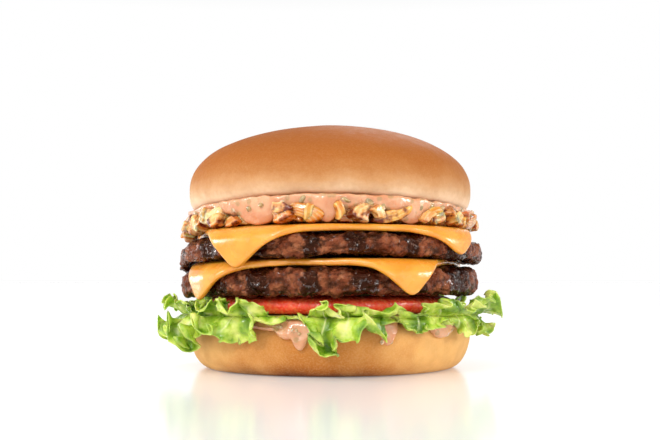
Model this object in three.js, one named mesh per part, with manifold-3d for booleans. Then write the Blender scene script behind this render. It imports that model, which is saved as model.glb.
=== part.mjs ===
// A double cheeseburger with grilled onions, in millimetres.
// +Z is up and the burger stands on z = 0. Its front, with two cheese corners on show, faces -Y.
// Bearings are measured round the vertical axis from the front, positive towards +X.
import * as THREE from "three";
import { mergeVertices } from "three/addons/utils/BufferGeometryUtils.js";
import Module from "manifold-3d";

const wasm = await Module();
wasm.setup();

// Driving dimensions. The bun is the common 4 inch one, and everything else follows from it.
const BUN_RADIUS = 50.5;
const CROWN_TOP = 85.4;
const GAP = 0.3;

// Thickness of each layer, from the heel up.
const HEEL = 17;
const SPREAD = 1.2;
const LEAF = 0.8;
const TOMATO = 5.8;
const LOWER_PATTY = 9.6;
const UPPER_PATTY = 8.0;
const CHEESE = 2.2;
const ONIONS = 4.8;
const DRESSING = 3.1;

// Height of each layer's underside on the burger's axis.
const SPREAD_Z = HEEL + GAP;
const LEAF_Z = SPREAD_Z + SPREAD + GAP;
const TOMATO_Z = LEAF_Z + LEAF + GAP;
const LOWER_PATTY_Z = TOMATO_Z + TOMATO + GAP;
const LOWER_CHEESE_Z = LOWER_PATTY_Z + LOWER_PATTY + GAP;
const UPPER_PATTY_Z = LOWER_CHEESE_Z + CHEESE + GAP;
const UPPER_CHEESE_Z = UPPER_PATTY_Z + UPPER_PATTY + GAP;
const ONIONS_Z = UPPER_CHEESE_Z + CHEESE + GAP;
const DRESSING_Z = ONIONS_Z + ONIONS + GAP;
const CROWN_Z = DRESSING_Z + DRESSING + GAP;

const TURN = 2 * Math.PI;
const { degToRad, lerp, smoothstep } = THREE.MathUtils;

// A repeatable stream of numbers from 0 to 1.
function draws(seed) {
  let state = seed;
  return () => (state = (state * 16807) % 2147483647) / 2147483647;
}

// How far the soft layers hang at their rim, most on the left, and nothing over the tomato.
const DROOP_START = 42;
function droop(radius, bearing) {
  const atRim = 1.5 - 0.8 * Math.sin(bearing) - 0.7 * Math.cos(2 * bearing);
  return atRim * smoothstep(radius, DROOP_START, 57);
}

// The crown's underside arches over the filling at the front and closes down at the sides.
function crownFloor(radius, bearing) {
  const atRim = -1.7 + 0.4 * Math.cos(bearing) + 1.5 * Math.cos(2 * bearing);
  return CROWN_Z + atRim * smoothstep(radius, 24, 49);
}

const toAngle = (bearing, degrees) => {
  const away = bearing - degToRad(degrees);
  return Math.abs(Math.atan2(Math.sin(away), Math.cos(away)));
};

// What a row of drips does at a bearing: share is 1 in the middle of a drip and 0 clear of them
// all, foot is that drip's lowest height, and out is 1 wherever the rim bulges for a drip.
function dripAt(drips, bearing) {
  const found = { share: 0, foot: 0, out: 0 };
  for (const { at, half, z } of drips) {
    const away = toAngle(bearing, at);
    const share = 1 - smoothstep(away, degToRad(half * 0.45), degToRad(half * 1.3));
    if (share > found.share) Object.assign(found, { share, foot: z });
    found.out = Math.max(found.out, 1 - smoothstep(away, degToRad(half + 6), degToRad(half + 12)));
  }
  return found;
}

// Makes one closed body of a geometry, with the slivers at its poles left out.
function closed(geometry) {
  geometry.deleteAttribute("uv");
  geometry.deleteAttribute("normal");
  const merged = mergeVertices(geometry, 1e-3);
  const index = [];
  for (let i = 0; i < merged.index.count; i += 3) {
    const [a, b, c] = [0, 1, 2].map((k) => merged.index.getX(i + k));
    if (a !== b && b !== c && c !== a) index.push(a, b, c);
  }
  merged.setIndex(index);
  merged.computeVertexNormals();
  return merged;
}

// A solid turned about the axis. place(bearing, ring) gives each point's radius and height,
// and its own bearing where that differs. focus crowds the segments towards the front.
function turned(rings, segments, place, focus = 0) {
  const bearingOf = (column) => {
    const even = ((column % segments) * TURN) / segments;
    return even - focus * Math.sin(even);
  };
  const outline = Array.from({ length: rings }, (_, ring) => new THREE.Vector2(...place(0, ring)));
  const geometry = new THREE.LatheGeometry(outline, segments).rotateX(Math.PI / 2);
  const position = geometry.getAttribute("position");
  for (let i = 0; i < position.count; i++) {
    const bearing = bearingOf(Math.floor(i / rings));
    const [radius, height, around = bearing] = place(bearing, i % rings);
    position.setXYZ(i, radius * Math.sin(around), -radius * Math.cos(around), height);
  }
  return closed(geometry);
}

function piece(name, geometry, color, roughness) {
  const mesh = new THREE.Mesh(geometry, new THREE.MeshStandardMaterial({ color, roughness, metalness: 0 }));
  mesh.name = name;
  return mesh;
}

// The heel: a flat foot, steep sides that swell to the bun's width, and a flat cut face.
function heel() {
  const profile = [
    [0, 0],
    [41.5, 0],
    [44.6, 0.7],
    [47.2, 3],
    [48.9, 6.6],
    [BUN_RADIUS - 0.7, 11],
    [49.6, 14.6],
    [48.2, 16.5],
    [46.2, HEEL],
    [0, HEEL],
  ];
  return turned(profile.length, 44, (bearing, ring) => {
    const [radius, z] = profile[ring];
    const uneven = z > 0 && z < HEEL ? 0.35 * Math.sin(3 * bearing + 1) + 0.25 * Math.sin(5 * bearing) : 0;
    return [radius + uneven, z];
  });
}

// Bearing, half width in degrees and height of the foot of each drip of the spread over the heel.
const SPREAD_DRIPS = [
  { at: -20, half: 5, z: 14.4 },
  { at: -11, half: 4.4, z: 9.0 },
  { at: 21, half: 3.5, z: 10.2 },
  { at: 40, half: 5, z: 12.8 },
  { at: -51, half: 5, z: 13.4 },
  { at: 118, half: 6, z: 11.0 },
  { at: 168, half: 7, z: 9.6 },
  { at: -138, half: 6, z: 11.4 },
];

// The spread on the heel: a thin disc whose rim runs down the heel's side in drips.
function spread() {
  const top = SPREAD_Z + SPREAD;
  const rest = [
    [0, SPREAD_Z],
    [46, SPREAD_Z],
    [47.6, SPREAD_Z - 0.1],
    [48.1, SPREAD_Z + 0.1],
    [48.5, SPREAD_Z + 0.4],
    [48.4, top - 0.4],
    [47.9, top - 0.15],
    [46.6, top],
    [0, top],
  ];
  const wall = BUN_RADIUS + 0.1;
  return turned(
    rest.length,
    60,
    (bearing, ring) => {
      const { share, foot, out } = dripAt(SPREAD_DRIPS, bearing);
      const lip = HEEL - 0.4;
      const low = lerp(lip - 1.2, foot, share);
      const bulge = [
        [0, SPREAD_Z],
        [48, SPREAD_Z],
        [wall, lip],
        [wall, low + 0.5],
        [wall + 0.5, low],
        [wall + 1.2, low + 1.1],
        [wall + 0.8, lip + 0.3],
        [49.4, top - 0.2],
        [0, top],
      ];
      const [r0, z0] = rest[ring];
      const [r1, z1] = bulge[ring];
      return [lerp(r0, r1, out), lerp(z0, z1, out)];
    },
    0.35,
  );
}

// Bearings of the leaves' sides, in degrees. Each leaf runs from one to the next.
const LEAF_SIDES = [-108, -13, 24, 108, 178, 252];
const LEAF_COLUMNS = [32, 14, 28, 20, 22];
const LEAF_INNER = 27;
const LEAF_BEND = 48.6;

// The leaf's free rim has a tip at the front, a bare stretch beside it over the widest drip of the
// spread, and a lobe that hangs out on the left.
const LEAF_TIP = [{ at: -1.5, half: 4, z: 0 }];
const LEAF_BARE = [{ at: -13, half: 6.5, z: 0 }];
const LEAF_LOBE = [{ at: -88, half: 13, z: 0 }];

// Steepness of the free rim at a bearing: positive curls up and negative hangs.
function leafTurn(bearing) {
  const ruffle = Math.sin(20 * bearing + 1.1 * Math.sin(3 * bearing) - 1.05);
  const lean = 0.35 * Math.sin(7 * bearing + 2);
  const wavy = -12 + 52 * (ruffle + lean) / 1.2 + 10 * Math.sin(bearing);
  return degToRad(lerp(wavy, -42, 0.8 * dripAt(LEAF_LOBE, bearing).share));
}

// Length of the free rim at a bearing.
function leafReach(bearing) {
  const uneven = 1.8 * Math.sin(5 * bearing + 0.6) + 1.6 * Math.sin(13 * bearing + 2);
  const ragged = 12 - 0.7 * Math.sin(bearing) + uneven;
  const lobed = lerp(ragged, 15.5, dripAt(LEAF_LOBE, bearing).share);
  const tipped = lerp(lobed, 16.5, dripAt(LEAF_TIP, bearing).share);
  return lerp(tipped, 2.6, dripAt(LEAF_BARE, bearing).share);
}

// Radius and height of the leaf at a bearing, at a distance along it past the bend.
function leafPath(bearing, run) {
  const steps = 8;
  let radius = LEAF_BEND;
  let z = LEAF_Z + LEAF / 2;
  for (let k = 0; k < steps; k++) {
    const along = ((k + 0.5) / steps) * run;
    const slope = leafTurn(bearing) * smoothstep(along, 0, 7);
    radius += (Math.cos(slope) * run) / steps;
    z += (Math.sin(slope) * run) / steps;
  }
  const ceiling = LOWER_PATTY_Z - 1.4 - droop(radius, bearing) + 6 * smoothstep(radius, 58.5, 61);
  const soft = 1.2;
  const over = z - ceiling;
  z = ceiling + (over - Math.hypot(over, soft)) / 2;
  return [radius, z];
}

function leafSide(side, v) {
  return degToRad(LEAF_SIDES[side] + 2.2 * Math.sin(5 * v + (side % LEAF_COLUMNS.length)));
}

// A thin wavy sheet with both faces split alike. surface(u, v) is its middle.
function thinSheet(columns, rows, surface, thickness) {
  const face = new THREE.PlaneGeometry(1, 1, columns, rows);
  const middle = face.getAttribute("position");
  for (let i = 0; i < middle.count; i++) {
    middle.setXYZ(i, ...surface(middle.getX(i) + 0.5, middle.getY(i) + 0.5));
  }
  face.computeVertexNormals();
  const normal = face.getAttribute("normal");
  const corner = new THREE.Vector3();
  const offset = new THREE.Vector3();
  const points = [];
  for (const side of [1, -1]) {
    for (let i = 0; i < middle.count; i++) {
      offset.fromBufferAttribute(normal, i).multiplyScalar((side * thickness) / 2);
      corner.fromBufferAttribute(middle, i).add(offset);
      points.push(corner.x, corner.y, corner.z);
    }
  }
  const under = middle.count;
  const index = [...face.index.array];
  for (let i = 0; i < face.index.count; i += 3) {
    const [a, b, c] = [0, 1, 2].map((k) => face.index.getX(i + k) + under);
    index.push(a, c, b);
  }
  const at = (column, row) => column + row * (columns + 1);
  const rim = [];
  for (let c = 0; c < columns; c++) rim.push(at(c, 0));
  for (let r = 0; r < rows; r++) rim.push(at(columns, r));
  for (let c = columns; c > 0; c--) rim.push(at(c, rows));
  for (let r = rows; r > 0; r--) rim.push(at(0, r));
  rim.forEach((p, i) => {
    const q = rim[(i + 1) % rim.length];
    index.push(p, q, q + under, p, q + under, p + under);
  });
  return new THREE.BufferGeometry()
    .setAttribute("position", new THREE.Float32BufferAttribute(points, 3))
    .setIndex(index);
}

// One lettuce leaf: flat under the tomato, with a ruffled rim that hangs and curls by turns.
function leaf(side) {
  const flat = 0.22;
  const surface = (u, v) => {
    const shy = degToRad(0.7);
    const bearing = lerp(leafSide(side, v) + shy, leafSide(side + 1, v) - shy, u);
    const ends = 1 - 0.45 * Math.pow(Math.abs(2 * u - 1), 6);
    let radius = lerp(LEAF_INNER, LEAF_BEND, v / flat);
    let z = LEAF_Z + LEAF / 2;
    if (v > flat) {
      [radius, z] = leafPath(bearing, ((v - flat) / (1 - flat)) * leafReach(bearing) * ends);
    }
    return [radius * Math.sin(bearing), -radius * Math.cos(bearing), z];
  };
  return thinSheet(LEAF_COLUMNS[side], 6, surface, LEAF);
}

// One thick slice of a large tomato, set to the front, where it shows between the leaves.
function tomato() {
  const radius = 43;
  const forward = 4.5;
  const profile = [
    [0, 0],
    [radius - 2.2, 0],
    [radius - 0.5, 1],
    [radius, 2.7],
    [radius - 1, TOMATO - 1.2],
    [radius - 5, TOMATO],
    [0, TOMATO],
  ];
  const geometry = turned(profile.length, 36, (bearing, ring) => {
    const [r, z] = profile[ring];
    return [r * (1 + 0.012 * Math.sin(5 * bearing) + 0.01 * Math.sin(2 * bearing + 1)), TOMATO_Z + z];
  });
  return geometry.translate(0, -forward, 0);
}

// Share of a patty's sagging lump at a bearing. It is on the left, clear of the slice under it.
const lumpAt = (bearing) => Math.exp(-((toAngle(bearing, -102) / degToRad(16)) ** 2));

// Edge of each patty at a bearing, before its crags.
function pattyEdge({ radius, shift, phase, sag }, bearing) {
  const broad = 0.8 * Math.sin(2 * bearing + phase) + 0.6 * Math.sin(3 * bearing + 2 * phase);
  const uneven = 0.5 * Math.sin(7 * bearing + phase) + shift * Math.sin(bearing);
  return radius + broad + uneven + 0.6 * sag * lumpAt(bearing);
}

const LOWER = {
  z: LOWER_PATTY_Z,
  thick: LOWER_PATTY,
  radius: 53.4,
  shift: 0.6,
  phase: 0.5,
  sag: 0,
  seed: 11,
};
const UPPER = {
  z: UPPER_PATTY_Z,
  thick: UPPER_PATTY,
  radius: 54.7,
  shift: 0.2,
  phase: 2.1,
  sag: 2.3,
  seed: 29,
};

// How far a patty hangs at its rim, with the lump that sags further.
function pattyDroop({ sag }, radius, bearing) {
  return droop(radius, bearing) + sag * lumpAt(bearing) * smoothstep(radius, 44, 55);
}

// Half diagonal of each slice of cheese, the bearing of one of its corners, and its centre.
const LOWER_SLICE = { diagonal: 57.8, corner: -59, x: -0.5, y: -8.3 };
const UPPER_SLICE = { diagonal: 58.5, corner: -34.5, x: -1.3, y: -9 };

// A grilled patty: flat faces and a rounded edge broken up by crags.
function patty(shape) {
  const half = shape.thick / 2;
  const round = 4.6;
  const steps = 8;
  const rings = steps + 5;
  const segments = 72;
  const random = draws(shape.seed);
  const crag = Array.from({ length: rings * segments }, () => random() * 2 - 1);
  const bulge = (value) => Math.sign(value) * Math.abs(value) ** 0.8;
  return turned(rings, segments, (bearing, ring) => {
    const edge = pattyEdge(shape, bearing);
    const column = Math.round((bearing / TURN) * segments) % segments;
    const rough = crag[column * rings + ring];
    const turn = lerp(-Math.PI / 2, Math.PI / 2, (ring - 2) / steps);
    let radius = ring === 0 || ring === rings - 1 ? 0 : DROOP_START;
    let up = ring < 2 ? -1 : 1;
    if (ring >= 2 && ring <= steps + 2) {
      const out = bulge(Math.max(0, Math.cos(turn)));
      radius = edge - round + round * out + (0.8 * rough - 0.2) * out;
      up = bulge(Math.sin(turn)) * (1 - 0.07 * Math.abs(rough));
    }
    return [radius, shape.z + half + half * up - pattyDroop(shape, radius, bearing)];
  });
}

// Where a slice of cheese starts to bend down over its patty's edge.
const CHEESE_BEND = 3.5;
const bendStart = (patty, bearing) => pattyEdge(patty, bearing) + 1 - CHEESE_BEND;

// Radius and height of a point of a cheese slice that lies on a patty and bends down over its
// edge. distance runs along the slice from the axis, and above is the height over its underside.
function drape(patty, distance, bearing, above) {
  const start = bendStart(patty, bearing);
  const top = patty.z + patty.thick + GAP - droop(Math.min(distance, start + CHEESE_BEND), bearing);
  const past = distance - start;
  if (past <= 0) return [distance, top + above];
  const middle = CHEESE_BEND + CHEESE / 2;
  const angle = Math.min(past / middle, Math.PI / 2);
  const hang = Math.max(0, past - (Math.PI / 2) * middle);
  const outer = CHEESE_BEND + above;
  return [start + outer * Math.sin(angle), top - CHEESE_BEND + outer * Math.cos(angle) - hang];
}

// A square slice of cheese, melted over the patty with its corners hanging. diagonal is half of
// the one from corner to corner, corner the bearing of one of them, and x and y the centre.
function cheese(patty, { diagonal, corner, x, y }) {
  const bent = [0, 0.2, 0.4, 0.6, 1];
  const half = bent.length + 2;
  const squareness = 20;
  return turned(half * 2, 40, (even, ring) => {
    const bearing = even - 0.12 * Math.sin(4 * (even - degToRad(corner)));
    const across = bearing - degToRad(corner) + Math.PI / 4;
    const sides = Math.abs(Math.cos(across)) ** squareness + Math.abs(Math.sin(across)) ** squareness;
    const reach = (diagonal * Math.SQRT1_2 ** (1 - 2 / squareness)) / sides ** (1 / squareness);
    // How far from its own centre the slice starts to droop and then to bend down.
    const along = x * Math.sin(bearing) - y * Math.cos(bearing);
    const aside = x * Math.cos(bearing) + y * Math.sin(bearing);
    const crossing = (radius) => Math.sqrt(radius ** 2 - aside ** 2) - along;
    const flat = Math.min(crossing(bendStart(patty, bearing + aside / patty.radius)), reach - 1);
    const upper = ring >= half;
    const step = upper ? half * 2 - 1 - ring : ring;
    let plan = step === 0 ? 0 : Math.min(crossing(DROOP_START), flat - 2);
    if (step > 1) plan = lerp(flat, reach, bent[step - 2]);
    const px = x + plan * Math.sin(bearing);
    const py = y - plan * Math.cos(bearing);
    const around = Math.atan2(px, -py);
    return [...drape(patty, Math.hypot(px, py), around, upper ? CHEESE : 0), around];
  });
}

// Bearing, half width in degrees and foot of each drip of the dressing between the onions.
const DRESSING_DRIPS = [
  { at: -28, half: 7, z: 49.4 },
  { at: -1, half: 3.5, z: 49.6 },
  { at: 32, half: 5, z: 49.4 },
  { at: 78, half: 5, z: 50 },
  { at: 122, half: 7, z: 49.5 },
  { at: 166, half: 6, z: 49.4 },
  { at: -142, half: 7, z: 49.5 },
  { at: -100, half: 5, z: 49.6 },
];

const dressingTop = (radius, bearing) => crownFloor(radius, bearing) - GAP;

// The dressing is thickest at the front and the back, where the crown arches up.
function dressingFloor(radius, bearing) {
  const thicker = 0.8 * Math.cos(2 * bearing) * smoothstep(radius, 24, 40);
  return dressingTop(radius, bearing) - DRESSING - thicker;
}

const cheeseTop = (radius, bearing) => UPPER_CHEESE_Z + CHEESE - droop(radius, bearing);

// The dressing under the crown: a disc whose rim runs down between the onions.
function dressing() {
  const radii = [0, 24, 40, 45.6, 46.4, 47.6, 49.3, 50.1, 49.8, 48.4, 46.4, 40, 24, 0];
  const drip = radii.indexOf(45.6);
  return turned(
    radii.length,
    52,
    (bearing, ring) => {
      const radius = radii[ring];
      const { share, foot } = dripAt(DRESSING_DRIPS, bearing);
      const floor = dressingFloor(radius, bearing);
      const top = dressingTop(radius, bearing);
      const lowest = lerp(floor, foot - droop(radius, bearing), share);
      const rim = [
        floor,
        lerp(floor, lowest, 0.6),
        lowest,
        lowest + 0.5,
        lerp(lowest, top, 0.4),
        lerp(lowest, top, 0.8),
        top - 0.1,
      ];
      const height = rim[ring - drip] ?? (ring < drip ? floor : top);
      return [radius, height];
    },
    0.35,
  );
}

// A curved chip of onion: a bent slab about its own centre.
function chip(length, width, thick, curve) {
  const geometry = new THREE.BoxGeometry(length, width, thick, 2, 1, 1);
  const position = geometry.getAttribute("position");
  for (let i = 0; i < position.count; i++) {
    const along = position.getX(i) / (length / 2);
    position.setZ(i, position.getZ(i) - curve * along * along);
    position.setY(i, position.getY(i) * (1 - 0.25 * along * along));
  }
  return geometry;
}

function solidOf(geometry) {
  const merged = closed(geometry);
  return new wasm.Manifold(
    new wasm.Mesh({
      numProp: 3,
      vertProperties: merged.getAttribute("position").array,
      triVerts: new Uint32Array(merged.index.array),
    }),
  );
}

function geometryOf(solid) {
  const { vertProperties, triVerts } = solid.getMesh();
  const geometry = new THREE.BufferGeometry()
    .setAttribute("position", new THREE.Float32BufferAttribute(vertProperties, 3))
    .setIndex(new THREE.BufferAttribute(new Uint32Array(triVerts), 1));
  geometry.computeVertexNormals();
  return geometry;
}

// A flat round solid between two surfaces, out to the last of its radii.
function between(radii, segments, floor, ceiling) {
  const last = radii.length * 2 - 1;
  return turned(radii.length * 2, segments, (bearing, ring) => {
    const radius = radii[Math.min(ring, last - ring)];
    return [radius, ring < radii.length ? floor(radius, bearing) : ceiling(radius, bearing)];
  });
}

// The onions: a low core with the chips that show round its rim joined to it.
function onions() {
  const floor = (radius, bearing) => cheeseTop(radius, bearing) + GAP;
  const ceiling = (radius, bearing) => dressingFloor(radius, bearing) - GAP;
  const random = draws(7);
  const count = 34;
  let heap = solidOf(between([0, 24, 40, 44.6], 28, floor, ceiling));
  for (let n = 0; n < count; n++) {
    const bearing = (n / count) * TURN;
    const length = 8 + 4 * random();
    const width = 5 + 1.6 * random();
    const thick = 2.8 + 1.2 * random();
    const bend = 0.9 + 0.8 * random();
    const tilt = [2.2, 0.8, 1.4].map((range) => range * (random() - 0.5));
    const out = (n % 2 ? 45 : 48) + 1.4 * random();
    const lift = 1.2 * (random() - 0.5);
    if (dripAt(DRESSING_DRIPS, bearing).share > 0.3) continue;
    const slab = chip(length, width, thick, bend);
    slab.applyMatrix4(new THREE.Matrix4().makeRotationFromEuler(new THREE.Euler(...tilt, "ZYX")));
    slab.rotateZ(bearing);
    const middle = (floor(49, bearing) + ceiling(49, bearing)) / 2 + lift;
    slab.translate(out * Math.sin(bearing), -out * Math.cos(bearing), middle);
    heap = heap.add(solidOf(pressed(slab, floor, ceiling)));
  }
  const [largest] = heap.decompose().sort((a, b) => b.volume() - a.volume());
  return geometryOf(largest);
}

// Presses a chip into the room between the cheese and the dressing, and behind its drips.
function pressed(slab, floor, ceiling) {
  const position = slab.getAttribute("position");
  const spare = 0.15;
  for (let i = 0; i < position.count; i++) {
    const [x, y, z] = [position.getX(i), position.getY(i), position.getZ(i)];
    const bearing = Math.atan2(x, -y);
    const near = [-0.12, 0, 0.12].map((aside) => dripAt(DRESSING_DRIPS, bearing + aside).share);
    const radius = Math.min(Math.hypot(x, y), lerp(56, 45, smoothstep(Math.max(...near), 0, 0.1)));
    const low = floor(radius, bearing) + spare;
    const high = ceiling(radius, bearing) - spare;
    const height = THREE.MathUtils.clamp(z, low, high);
    position.setXYZ(i, radius * Math.sin(bearing), -radius * Math.cos(bearing), height);
  }
  return slab;
}

// The crown: a smooth dome with a rounded rim.
function crown() {
  const widest = 62.6;
  const rise = CROWN_TOP - widest;
  const rim = [
    [0, 0],
    [24, 0],
    [40, 0],
    [46.4, 0],
    [48.3, 0.9],
    [49.5, 2.7],
  ];
  const dome = 8;
  return turned(rim.length + 1 + dome, 40, (bearing, ring) => {
    const uneven = 1 + 0.004 * Math.sin(3 * bearing) + 0.003 * Math.sin(2 * bearing + 1);
    if (ring < rim.length) {
      const [radius, up] = rim[ring];
      return [radius * uneven, crownFloor(radius, bearing) + up];
    }
    const angle = ((ring - rim.length) / dome) * (Math.PI / 2);
    const power = 2 / 2.1;
    const radius = BUN_RADIUS * Math.pow(Math.max(0, Math.cos(angle)), power);
    return [radius < 1e-6 ? 0 : radius * uneven, widest + rise * Math.pow(Math.sin(angle), power)];
  });
}

const burger = new THREE.Group();
burger.add(piece("heel", heel(), 0xd98f45, 0.75));
burger.add(piece("spread", spread(), 0xe8a27c, 0.35));
for (const side of LEAF_COLUMNS.keys()) {
  burger.add(piece(`lettuce_${side + 1}`, leaf(side), 0x7fb83a, 0.5));
}
burger.add(piece("tomato", tomato(), 0xc8281c, 0.3));
burger.add(piece("lower_patty", patty(LOWER), 0x4a2a1c, 0.55));
burger.add(piece("lower_cheese", cheese(LOWER, LOWER_SLICE), 0xf5b13c, 0.35));
burger.add(piece("upper_patty", patty(UPPER), 0x4a2a1c, 0.55));
burger.add(piece("upper_cheese", cheese(UPPER, UPPER_SLICE), 0xf5b13c, 0.35));
burger.add(piece("onions", onions(), 0xc98b3f, 0.4));
burger.add(piece("dressing", dressing(), 0xeba583, 0.3));
burger.add(piece("crown", crown(), 0xc87f3c, 0.7));

export default burger;
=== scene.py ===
"""A double cheeseburger with grilled onions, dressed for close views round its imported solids.

Shapes are worked out in millimetres and become metres in solid(). Bearings are measured round the
vertical axis from the front, which faces -Y, and are positive towards +X. Lights and the camera
are placed in metres.
"""

import bpy
import numpy as np
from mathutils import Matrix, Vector


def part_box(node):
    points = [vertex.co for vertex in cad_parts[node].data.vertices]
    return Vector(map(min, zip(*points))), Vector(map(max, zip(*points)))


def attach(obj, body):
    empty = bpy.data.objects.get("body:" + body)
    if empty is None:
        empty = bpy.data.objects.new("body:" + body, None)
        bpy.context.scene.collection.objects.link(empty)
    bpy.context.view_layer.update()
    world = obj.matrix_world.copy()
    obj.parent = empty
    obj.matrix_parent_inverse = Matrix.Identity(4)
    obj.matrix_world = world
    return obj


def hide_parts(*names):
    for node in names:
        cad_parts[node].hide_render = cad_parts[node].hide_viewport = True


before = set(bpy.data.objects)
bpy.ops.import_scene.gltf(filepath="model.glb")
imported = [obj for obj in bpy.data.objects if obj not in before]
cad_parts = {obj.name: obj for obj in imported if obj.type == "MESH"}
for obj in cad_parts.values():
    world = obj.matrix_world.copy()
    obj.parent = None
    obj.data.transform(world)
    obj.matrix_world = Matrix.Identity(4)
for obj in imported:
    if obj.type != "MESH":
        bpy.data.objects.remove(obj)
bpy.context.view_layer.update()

MM = 0.001
TURN = 2 * np.pi
BUN_RADIUS = 50.5
CHEESE = 2.2
GAP = 0.3
DROOP_START = 42
DROOP_END = 57


def node_heights(node):
    """Height of the bottom and of the top of a CAD node, in millimetres."""
    return [corner[2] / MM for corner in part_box(node)]


TOMATO_LOW, TOMATO_TOP = node_heights("tomato")
HEEL_TOP, SPREAD_TOP, CROWN_TOP = (node_heights(node)[1] for node in ("heel", "spread", "crown"))
LOWER_TOP, UPPER_TOP = (node_heights(node)[1] for node in ("lower_patty", "upper_patty"))
CHEESE_TOP = node_heights("upper_cheese")[1]
LEAF_MIDDLE = (SPREAD_TOP + TOMATO_LOW) / 2
PATTY_LOW = TOMATO_TOP + GAP
CROWN_FLOOR = 57.7
HEEL_RADIUS = 49.8
LEAF_FURTHEST = 60.8


def smoothstep(x, low, high):
    t = np.clip((x - low) / (high - low), 0, 1)
    return t * t * (3 - 2 * t)


def lerp(a, b, t):
    return a + (b - a) * t


def droop(radius, bearing):
    """How far the soft layers hang at their rim, most on the left, as in the CAD source."""
    at_rim = 1.5 - 0.8 * np.sin(bearing) - 0.7 * np.cos(2 * bearing)
    return at_rim * smoothstep(radius, DROOP_START, DROOP_END)


def crown_floor(radius, bearing):
    """The crown's underside, arched over the filling at the front and lower at the sides."""
    at_rim = -1.7 + 0.4 * np.cos(bearing) + 1.5 * np.cos(2 * bearing)
    return CROWN_FLOOR + at_rim * smoothstep(radius, 24, 49)


# Noise

def hashed(cells, seed):
    """Even random numbers from 0 to 1 for whole-number cells, the same every run."""
    x, y, z = (cells[..., k].astype(np.int64).astype(np.uint32) for k in range(3))
    h = x * np.uint32(374761393) + y * np.uint32(668265263) + z * np.uint32(2246822519)
    h = h + np.uint32((seed * 977 + 13) * 3266489917 & 0xFFFFFFFF)
    h = (h ^ (h >> np.uint32(15))) * np.uint32(2246822519)
    h = (h ^ (h >> np.uint32(13))) * np.uint32(3266489917)
    return ((h ^ (h >> np.uint32(16))) & np.uint32(0xFFFFFF)).astype(float) / 0xFFFFFF


def noise(points, size, seed, octaves=1):
    """Smooth noise from -1 to 1 whose lumps are about size across."""
    shift = 31.7
    total, height, weight = np.zeros(points.shape[:-1]), 1.0, 0.0
    for octave in range(octaves):
        p = points / size * 2**octave + shift * octave
        cell = np.floor(p)
        t = p - cell
        t = t * t * t * (t * (t * 6 - 15) + 10)
        value = 0
        for corner in np.ndindex(2, 2, 2):
            corner = np.array(corner)
            share = np.prod(np.where(corner, t, 1 - t), axis=-1)
            value = value + share * hashed(cell + corner, seed + octave)
        total += height * (2 * value - 1)
        weight += height
        height *= 0.5
    return total / weight


def nodules(points, size, seed):
    """Distance to the nearest scattered centre, in sizes, and that centre's own random number."""
    p = points / size
    cell = np.floor(p)
    nearest = np.full(p.shape[:-1], 9.0)
    own = np.zeros(p.shape[:-1])
    for step in np.ndindex(3, 3, 3):
        there = cell + np.array(step) - 1
        centre = there + np.stack([hashed(there, seed + k) for k in range(3)], -1)
        distance = np.linalg.norm(p - centre, axis=-1)
        closer = distance < nearest
        nearest = np.where(closer, distance, nearest)
        own = np.where(closer, hashed(there, seed + 7), own)
    return nearest, own


# Meshes

def solid(name, points, quads, triangles, **attributes):
    """A smooth mesh object of points in millimetres, with its faces turned outwards."""
    halves = np.concatenate([quads[:, :3], quads[:, [0, 2, 3]], triangles])
    a, b, c = (points[halves[:, k]] for k in range(3))
    if np.einsum("ij,ij->", a, np.cross(b, c)) < 0:
        quads, triangles = quads[:, ::-1], triangles[:, ::-1]
    mesh = bpy.data.meshes.new(name)
    corners = np.concatenate([quads.ravel(), triangles.ravel()])
    starts = [np.arange(len(quads)) * 4, len(quads) * 4 + np.arange(len(triangles)) * 3]
    mesh.vertices.add(len(points))
    mesh.vertices.foreach_set("co", (points * MM).astype(np.float32).ravel())
    mesh.loops.add(len(corners))
    mesh.loops.foreach_set("vertex_index", corners.astype(np.int32))
    mesh.polygons.add(len(quads) + len(triangles))
    mesh.polygons.foreach_set("loop_start", np.concatenate(starts).astype(np.int32))
    mesh.update(calc_edges=True)
    mesh.validate()
    mesh.shade_smooth()
    for key, values in attributes.items():
        layer = mesh.attributes.new(key, "FLOAT", "POINT")
        layer.data.foreach_set("value", np.asarray(values, np.float32).ravel())
    return placed(name, mesh)


def placed(name, data):
    """A new object in the scene."""
    made = bpy.data.objects.new(name, data)
    bpy.context.scene.collection.objects.link(made)
    return made


def dress(piece, material, slot, *nodes):
    """Puts a finished piece on the burger, in place of its CAD nodes."""
    piece.data.materials.append(material)
    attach(piece, "root")
    if nodes:
        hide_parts(*nodes)


def grid_faces(columns, rows, wrap):
    """Quads of a grid of columns by rows of points, closed round its columns if wrap."""
    across = np.arange(columns if wrap else columns - 1)[:, None]
    down = np.arange(rows - 1)[None, :]
    after = (across + 1) % columns
    corners = [across * rows + down, after * rows + down]
    corners += [corners[1] + 1, corners[0] + 1]
    return np.stack(corners, -1).reshape(-1, 4)


def turned(*shells):
    """Points, quads and triangles of a solid round the axis. Each shell is an array of columns by
    rings of points, and the first and the last ring shrink to one point each."""
    grid = np.concatenate(shells, axis=1)
    inner = grid[:, 1:-1]
    columns, rings = inner.shape[:2]
    ends = [grid[:, 0].mean(0), grid[:, -1].mean(0)]
    points = np.concatenate([inner.reshape(-1, 3), ends])
    here = np.arange(columns) * rings
    after = np.roll(here, -1)
    first = here * 0 + columns * rings
    start = np.stack([first, after, here], -1)
    end = np.stack([first + 1, here + rings - 1, after + rings - 1], -1)
    return points, grid_faces(columns, rings, True), np.concatenate([start, end])


def closed(low, grid, high):
    """A turned grid whose first and last points lie on the axis, at two heights."""
    ends = [np.zeros((len(grid), 1, 3)) + (0, 0, z) for z in (low, high)]
    return turned(ends[0], grid, ends[1])


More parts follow.
